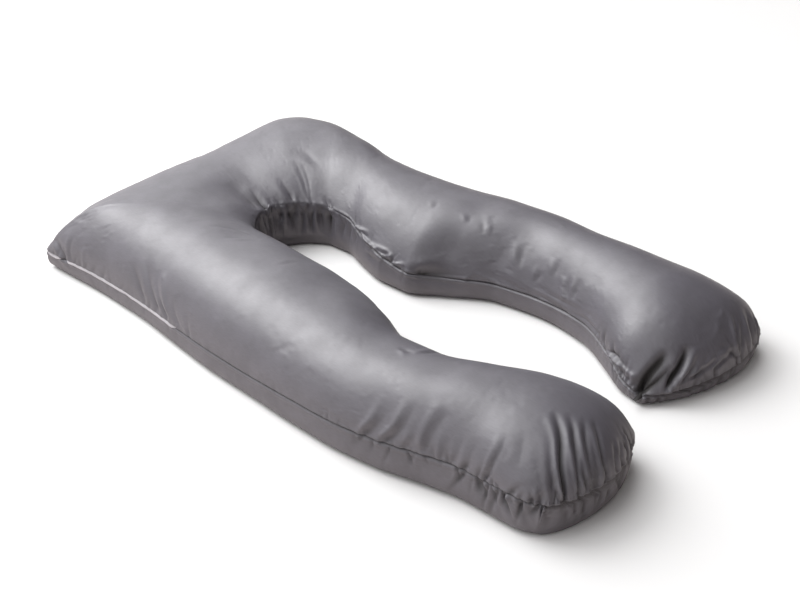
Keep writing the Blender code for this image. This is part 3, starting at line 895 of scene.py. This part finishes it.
def pucker_depths(places, turns, points, seam):
    """How far each point goes outwards for the puckers along the seam."""
    inner = inner_column(turns)
    depths = np.zeros_like(seam.distance)
    flat = depths.ravel()
    rng = np.random.default_rng(PUCKER_SEED)
    run, distance, above = seam.run.ravel(), seam.distance.ravel(), seam.above.ravel()
    for zone in PUCKERS:
        begin, end = part_of_seam(zone.part, zone.first, zone.last, places, seam, points, inner)
        near = (above == zone.above) & (distance < LONGEST * zone.length)
        near = np.flatnonzero(near & (run > begin - PAST_ZONE) & (run < end + PAST_ZONE))
        place = begin + zone.step * rng.uniform(0.2, 1)
        while place < end:
            length = zone.length * rng.uniform(0.35, 1.5)
            depth = zone.depth * rng.uniform(0.2, 1.5)
            width = PUCKER_WIDTH * rng.uniform(0.7, 1.6)
            slant = rng.normal(0, 0.35)
            lean = rng.uniform(-0.5, 0.5)
            out = distance[near] / length
            rise = np.clip(0.25 + distance[near] / PUCKER_RISE, 0, 1)
            across = (run[near] - place - slant * distance[near]) / (width * (0.8 + 0.8 * out))
            fade = rise * np.clip(1 - out, 0, 1) ** 1.3
            side = np.sign(lean)
            lip = abs(lean) * np.exp(-((across - LIP_FROM_TROUGH * side) ** 2))
            flat[near] += depth * fade * (lip - np.exp(-(across**2)))
            place += zone.step * rng.uniform(0.35, 1.9)
    return depths


SLACK_ROWS = (12.8, 20.2)  # round the arch the seam is hardly drawn in
SLACK = 0.7


def slack_seam(places, turns):
    """How slack the seam is at each point: it is only on the inner side, round the arch."""
    begins, ends = SLACK_ROWS
    ramp = np.clip(np.minimum(places - begins, ends - places), 0, 1)
    return SLACK * ramp[:, None] * (turns > 0.5)


SEAM_GROOVE = 0.0034
GROOVE_WIDTH = 0.0015
UPPER_ROLL = 0.0010  # the cloth's roll above the seam
LOWER_ROLL = 0.0017  # and the firmer one below it, over the seam allowance
ROLL_WIDTH = 0.0028
ABOVE_SEAM = 0.0050  # how far off the upper roll lies
BELOW_SEAM = 0.0056  # and the lower one
ALLOWANCE = 0.0100  # where the seam allowance ends inside, a faint second groove
ALLOWANCE_SHARE = 0.15


def seam_depths(seam, slack):
    """How far each point goes outwards for the sewn seam itself, less so where it is slack."""
    distance = np.where(seam.above, seam.distance, -seam.distance)
    groove = SEAM_GROOVE * np.exp(-((distance / GROOVE_WIDTH) ** 2))
    upper = UPPER_ROLL * np.exp(-(((distance - ABOVE_SEAM) / ROLL_WIDTH) ** 2))
    lower = LOWER_ROLL * np.exp(-(((distance + BELOW_SEAM) / ROLL_WIDTH) ** 2))
    second = ALLOWANCE_SHARE * SEAM_GROOVE * np.exp(-(((distance + ALLOWANCE) / GROOVE_WIDTH) ** 2))
    return (upper + lower - groove - second) * (1 - slack)


# Broad dents (negative) and swells of the filling: row, turn, radius and height.
Swell = namedtuple("Swell", "row turn radius height")
SWELLS = [
    Swell(7.0, 0.62, 0.060, -0.004),
    Swell(3.9, 0.20, 0.050, -0.006),
    Swell(2.8, 0.15, 0.045, -0.004),
    Swell(9.3, 0.62, 0.050, -0.006),
    Swell(14.2, 0.72, 0.060, -0.007),
    Swell(10.8, 0.20, 0.060, -0.004),
    Swell(23.9, 0.90, 0.045, -0.006),
    Swell(21.8, 0.90, 0.040, -0.004),
    Swell(29.2, 0.85, 0.045, -0.005),
    Swell(28.0, 0.80, 0.045, -0.004),
]
LOOSE_SWELLS = 90
LOOSE_RADIUS = (0.035, 0.080)
LOOSE_HEIGHT = 0.0016
SWELL_SEED = 5


def swell_depths(points):
    """How far each point goes outwards for the uneven filling."""
    depths = np.zeros(len(points))
    rng = np.random.default_rng(SWELL_SEED)
    rows = rng.uniform(0.3, LAST_ROW - 0.3, LOOSE_SWELLS)
    turns = rng.uniform(0.08, 0.92, LOOSE_SWELLS)
    radii = rng.uniform(*LOOSE_RADIUS, LOOSE_SWELLS)
    heights = rng.normal(0, LOOSE_HEIGHT, LOOSE_SWELLS)
    loose = [Swell(*values) for values in zip(rows, turns, radii, heights)]
    for swell in SWELLS + loose:
        middle = cover_at(np.array([swell.row]), np.array([swell.turn])) - MIDDLE
        distance = np.linalg.norm(points - middle, axis=-1)
        depths += swell.height * np.exp(-((distance / swell.radius) ** 2))
    return depths


TAUT_BEYOND = 0.11  # further than this from a seam the filling holds the cloth taut
TAUT_SHARE = 0.4  # the share of the simulated movement that is left there


def moved_by_simulation(points, places, turns):
    """The fine grid's points, carried along by the coarse grid's simulated cloth."""
    from_places, from_turns, moves = gathered_moves()
    moves = np.concatenate([moves, moves[:, :1]], axis=1)
    rounds = np.append(ring_places(from_turns), WHOLE_RING)
    row = np.interp(places, from_places, np.arange(len(from_places)))
    column = np.interp(ring_places(turns), rounds, np.arange(len(rounds)))
    moves = between_rows(moves, row, limited=False)
    moves = between_rows(moves.transpose(1, 0, 2), column, limited=False).transpose(1, 0, 2)
    near_seam = np.exp(-((np.minimum(*seam_distances(points, turns)) / TAUT_BEYOND) ** 2))
    return points + moves * (TAUT_SHARE + (1 - TAUT_SHARE) * near_seam)[..., None]


FULLY_FOLDED = 0.009  # a crease this deep lies folded in on itself and gets the full painted shade
FULLY_PUCKERED = 0.0035  # a pucker this deep is as closed as one gets, for its painted shade
GROOVE_SHADE = 0.7  # how much painted shade the seam's groove gets, as a share of a full fold
PUCKER_SHADE = 0.6  # and the deepest puckers
END_STATIONS = 120  # stations near enough to an arm's end to look for its seam


def creased(points, places, turns):
    """The cover's points with its swells, its creases, its puckers and its seam, and how far each
    point is folded in, which sets the painted shade in its folds.
    """
    seam = follow_seam(points, turns)
    normals = grid_normals(points).reshape(-1, 3)
    flat = points.reshape(-1, 3)
    flat = flat + normals * swell_depths(flat)[:, None]
    normals = grid_normals(flat.reshape(points.shape)).reshape(-1, 3)
    depths = np.zeros(len(flat))
    for crease in CREASES:
        chosen, depth = crease_depths(crease, flat, normals)
        depths[chosen] += depth
    # The folded mask, which paints shade into the colour: deep creases first, then the seam's groove and
    # deep puckers.
    folded = np.clip(-depths / FULLY_FOLDED, 0, 1) ** 1.5
    slack = slack_seam(places, turns)
    groove = GROOVE_SHADE * (1 - slack) * np.exp(-((seam.distance / GROOVE_WIDTH) ** 2))
    folded = np.maximum(folded, groove.ravel())
    puckers = pucker_depths(places, turns, points, seam).ravel()
    depths += puckers
    folded = np.maximum(folded, PUCKER_SHADE * np.clip(-puckers / FULLY_PUCKERED, 0, 1))
    depths += seam_depths(seam, slack).ravel()
    flat = flat + normals * depths[:, None]
    flat[:, 2] = np.maximum(flat[:, 2], 0)
    return flat.reshape(points.shape), folded


# The zip placket's lip: a folded edge of satin that stands out from the seam. Each stretch is from
# one row to another, because the lip is caught down once, beside the ear.
LIP_STRETCHES = [(8.95, 11.42), (11.50, 12.02)]
LIP_HALF_HEIGHT = 0.0036
LIP_HALF_DEPTH = 0.0030
LIP_TAPER = 0.012
LIP_WAVE = 0.0007
LIP_WAVE_STEP = 0.02
LIP_SEED = 3
LIP_SIDES = 14
LIP_OUT = 0.0022  # how far its middle stands out from the seam
LIP_DOWN = 0.0010  # and how far below the seam it lies
LIP_STATIONS = 90  # for each row of the sections
LIP_CRUMPLE = 0.15


def lip_stretch(first, last, points, places):
    """The lip's points and faces along one stretch of the outer seam."""
    count = max(24, int((last - first) * LIP_STATIONS))
    rows = np.linspace(first, last, count)
    path = np.stack([np.interp(rows, places, points[:, 0, axis]) for axis in range(3)], axis=-1)
    path[:, :2] = smoothed(path[:, :2])
    along = np.gradient(path, axis=0)
    along /= np.linalg.norm(along, axis=-1, keepdims=True)
    outward = np.cross((0, 0, 1), along)
    outward /= np.linalg.norm(outward, axis=-1, keepdims=True)
    run = run_along(path)
    taper = np.clip(np.minimum(run, run[-1] - run) / LIP_TAPER, 0, 1) ** 0.5
    waves = np.random.default_rng(LIP_SEED).normal(0, LIP_WAVE, int(run[-1] / LIP_WAVE_STEP) + 2)
    wave = np.interp(run / LIP_WAVE_STEP, np.arange(len(waves)), waves)
    upright = np.array([0, 0, 1])
    middle = path + outward * LIP_OUT * taper[:, None] + upright * (wave - LIP_DOWN)[:, None]
    angles = np.linspace(0, 2 * math.pi, LIP_SIDES, endpoint=False)
    up = np.sin(angles) * LIP_HALF_HEIGHT
    out = np.cos(angles) * LIP_HALF_DEPTH * (1 - 0.35 * np.sin(angles))
    size = (0.12 + 0.88 * taper)[:, None, None]
    around = up[None, :, None] * upright + out[None, :, None] * outward[:, None]
    ring = middle[:, None] + size * around
    index = np.arange(count * LIP_SIDES).reshape(count, LIP_SIDES)
    follow = np.roll(index, -1, axis=1)
    faces = np.stack([index[:-1], follow[:-1], follow[1:], index[1:]], -1).reshape(-1, 4).tolist()
    faces += [index[0, ::-1].tolist(), index[-1].tolist()]
    return ring.reshape(-1, 3), faces


def smoothed(values, times=6):
    """A line with its small bends evened out, and its two ends where they were."""
    for _ in range(times):
        between = (values[:-2] + 2 * values[1:-1] + values[2:]) / 4
        values = np.concatenate([values[:1], between, values[-1:]])
    return values


def placket_lip(points, places):
    """The placket's folded lip, in its two stretches, its satin painted light as its highlight."""
    rings, faces = [], []
    for first, last in LIP_STRETCHES:
        ring, around = lip_stretch(first, last, points, places)
        start = sum(map(len, rings))
        faces += [[start + point for point in face] for face in around]
        rings.append(ring)
    ring = np.concatenate(rings)
    lip, _ = make_mesh("placket_lip", ring, faces)
    lip.data.shade_smooth()
    girth = np.tile(np.arange(LIP_SIDES) * LIP_HALF_DEPTH / 2, len(ring) // LIP_SIDES)
    cloth = np.stack([girth, ring[:, 1]], -1)
    lay_cloth(lip.data, cloth, np.full(len(ring), LIP_CRUMPLE), np.zeros(len(ring)))
    # Painted highlight: the lip is the same grey satin as the cover, but its colours are painted far
    # lighter for the light that its rolled edge catches.
    lip.data.materials.append(satin_weave("lip satin painted light as its highlight", "#C2C0C6", "#B0AEB4", 0.38))
    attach(lip, "root")
    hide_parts("zip_placket")


STITCH_PITCH = 0.0045
STITCH_LENGTH = 0.0030
STITCH_THICKNESS = 0.0005
STITCH_OFFSET = 0.0026  # from the seam down to the row of stitches
STITCH_UNEVENNESS = 0.35  # how much shorter than its length a stitch may be
STITCH_SEED = 4
COLUMNS_DOWN = 14  # points down the wall that reach past the stitches


def beside_seam(points, column, step, distance, stations):
    """Points on the cover a little below the seam, one for each of the stations."""
    columns = column + step * np.arange(COLUMNS_DOWN)
    down = points[stations][:, columns % points.shape[1]]
    gaps = np.linalg.norm(np.diff(down, axis=1), axis=-1)
    run = np.concatenate([np.zeros((len(down), 1)), np.cumsum(gaps, axis=1)], axis=1)
    places = [[np.interp(distance, far, axis) for axis in line.T] for far, line in zip(run, down)]
    return np.array(places)


def stitch_tree():
    """Stitches at even steps along a line, each a short length of thread, a little uneven."""
    tree = bpy.data.node_groups.new("row of stitches", "GeometryNodeTree")
    tree.interface.new_socket("Geometry", in_out="INPUT", socket_type="NodeSocketGeometry")
    for name in ("Pitch", "Length", "Thickness", "Unevenness"):
        tree.interface.new_socket(name, in_out="INPUT", socket_type="NodeSocketFloat")
    tree.interface.new_socket("Seed", in_out="INPUT", socket_type="NodeSocketInt")
    tree.interface.new_socket("Thread", in_out="INPUT", socket_type="NodeSocketMaterial")
    tree.interface.new_socket("Geometry", in_out="OUTPUT", socket_type="NodeSocketGeometry")
    given = add(tree, "NodeGroupInput").outputs
    line = add(tree, "GeometryNodeMeshToCurve", {}, {}, {"Mesh": given["Geometry"]}).outputs["Curve"]
    pitch = {"Curve": line, "Length": given["Pitch"]}
    steps = add(tree, "GeometryNodeCurveToPoints", {"mode": "LENGTH"}, {}, pitch).outputs
    few_faces = {"Segments": 6, "Rings": 4, "Radius": 0.5}
    bead = add(tree, "GeometryNodeMeshUVSphere", {}, few_faces).outputs["Mesh"]
    minus, times = {"operation": "SUBTRACT"}, {"operation": "MULTIPLY"}
    least = add(tree, "ShaderNodeMath", minus, {0: 1.0}, {1: given["Unevenness"]}).outputs[0]
    chance = {"Min": least, "Seed": given["Seed"]}
    share = add(tree, "FunctionNodeRandomValue", {}, {"Max": 1.0}, chance).outputs["Value"]
    length = add(tree, "ShaderNodeMath", times, {}, {0: given["Length"], 1: share}).outputs[0]
    sides = {"X": given["Thickness"], "Y": given["Thickness"], "Z": length}
    size = add(tree, "ShaderNodeCombineXYZ", {}, {}, sides).outputs["Vector"]
    laid = {"Points": steps["Points"], "Instance": bead, "Rotation": steps["Rotation"], "Scale": size}
    sewn = add(tree, "GeometryNodeInstanceOnPoints", {}, {}, laid).outputs["Instances"]
    real = add(tree, "GeometryNodeRealizeInstances", {}, {}, {"Geometry": sewn}).outputs["Geometry"]
    smooth = add(tree, "GeometryNodeSetShadeSmooth", {}, {}, {"Geometry": real}).outputs["Geometry"]
    finish = {"Geometry": smooth, "Material": given["Thread"]}
    threaded = add(tree, "GeometryNodeSetMaterial", {}, {}, finish).outputs["Geometry"]
    add(tree, "NodeGroupOutput", {}, {}, {"Geometry": threaded})
    return tree


def seam_stitches(points, turns):
    """The row of stitches below the seam, on both sides of the U."""
    stations = np.arange(6, len(points) - 6, 2)
    sides = ((0, -1), (inner_column(turns), 1))
    lines = [beside_seam(points, *side, STITCH_OFFSET, stations) for side in sides]
    mesh = bpy.data.meshes.new("stitch_lines")
    count = len(stations)
    edges = [(n + start, n + start + 1) for start in (0, count) for n in range(count - 1)]
    mesh.from_pydata(np.concatenate(lines).tolist(), edges, [])
    guide = bpy.data.objects.new("stitch_lines", mesh)
    bpy.context.scene.collection.objects.link(guide)
    thread = sewing_thread()
    tree = stitch_tree()
    sewing = guide.modifiers.new("sewing", "NODES")
    sewing.node_group = tree
    given = {
        "Pitch": STITCH_PITCH,
        "Length": STITCH_LENGTH,
        "Thickness": STITCH_THICKNESS,
        "Unevenness": STITCH_UNEVENNESS,
        "Seed": STITCH_SEED,
        "Thread": thread,
    }
    for item in tree.interface.items_tree:
        if item.in_out == "INPUT" and item.name in given:
            sewing[item.identifier] = given[item.name]
    graph = bpy.context.evaluated_depsgraph_get()
    sewn = bpy.data.meshes.new_from_object(guide.evaluated_get(graph), depsgraph=graph)
    stitches = bpy.data.objects.new("seam_stitches", sewn)
    bpy.context.scene.collection.objects.link(stitches)
    bpy.data.objects.remove(guide)
    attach(stitches, "root")


EASED_FROM_CORNER = 0.045  # an arm's end has no hard corners: the filling rounds them
EASING_STEPS = 40
LEAST_EASED = 0.02  # the share of easing below which a point stays where it is


def eased(points, turns):
    """The cover with the corners at its arms' ends rounded off by the filling."""
    inner = inner_column(turns)
    corners = points[[0, 0, -1, -1], [0, inner, 0, inner]]
    flat = points.reshape(-1, 3)
    distance = np.min(np.linalg.norm(flat[:, None] - corners, axis=-1), axis=1)
    piece, used = make_mesh("cloth_to_ease", flat, grid_faces(FINE, points.shape[1]))
    group = piece.vertex_groups.new(name="near corners")
    weights = np.exp(-((distance[used] / EASED_FROM_CORNER) ** 2))
    add_to_group(group, np.where(weights > LEAST_EASED, weights, 0))
    ease = piece.modifiers.new("ease", "SMOOTH")
    ease.factor = 0.6
    ease.iterations = EASING_STEPS
    ease.vertex_group = group.name
    graph = bpy.context.evaluated_depsgraph_get()
    moved = np.zeros(3 * len(used), np.float32)
    piece.evaluated_get(graph).data.vertices.foreach_get("co", moved)
    bpy.data.objects.remove(piece)
    flat = flat.copy()
    flat[used] = moved.reshape(-1, 3)
    return flat.reshape(points.shape)


def cloth_places(points, turns, places):
    """Where each point of the cover lies on the flat cut cloth, in metres. The weave runs one way."""
    inner = inner_column(turns)
    here, total = round_sections(points)
    top = here[:, inner : inner + 1]
    offset = np.where(turns < 0, here - total, here) - top / 2
    section = section_columns(places)
    outer_seam, inner_seam = seam_points(section)
    across = inner_seam - outer_seam
    across /= np.linalg.norm(across, axis=-1, keepdims=True)
    return middle_of(section)[:, None] + across[:, None] * offset[..., None]


def lay_cloth(mesh, cloth, crumple, folded):
    """Gives a mesh its place on the flat cloth, how crumpled each point is, and how far it is folded
    in, which sets its painted shade.
    """
    corners = np.zeros(len(mesh.loops), np.int32)
    mesh.loops.foreach_get("vertex_index", corners)
    layer = mesh.uv_layers.new(name="cloth")
    layer.data.foreach_set("uv", cloth[corners].astype(np.float32).ravel())
    for name, values in (("crumple", crumple), ("folded", folded)):
        amount = mesh.attributes.new(name, "FLOAT", "POINT")
        amount.data.foreach_set("value", values.astype(np.float32).ravel())


def pillow_cover():
    """The filled cover, with the placket's lip and the stitches that follow its seam."""
    places, turns, points = cover_grid(FINE)
    crumple = spare_cloth(places, turns, points)
    cloth = cloth_places(points, turns, places)
    points = eased(points, turns)
    points = moved_by_simulation(points, places, turns)
    points, folded = creased(points, places, turns)
    faces = grid_faces(FINE, points.shape[1])
    cover, used = make_mesh("pillow_cover", points.reshape(-1, 3), faces)
    cover.data.shade_smooth()
    crumple = (crumple / crumple.max()).ravel()
    lay_cloth(cover.data, cloth.reshape(-1, 2)[used], crumple[used], folded[used])
    cover.data.materials.append(satin_weave("satin weave", "#64626A", "#56545B", 0.47))
    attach(cover, "root")
    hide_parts("pillow_body")
    placket_lip(points, places)
    seam_stitches(points, turns)


place_camera()
studio_light()
white_floor()
pillow_cover()
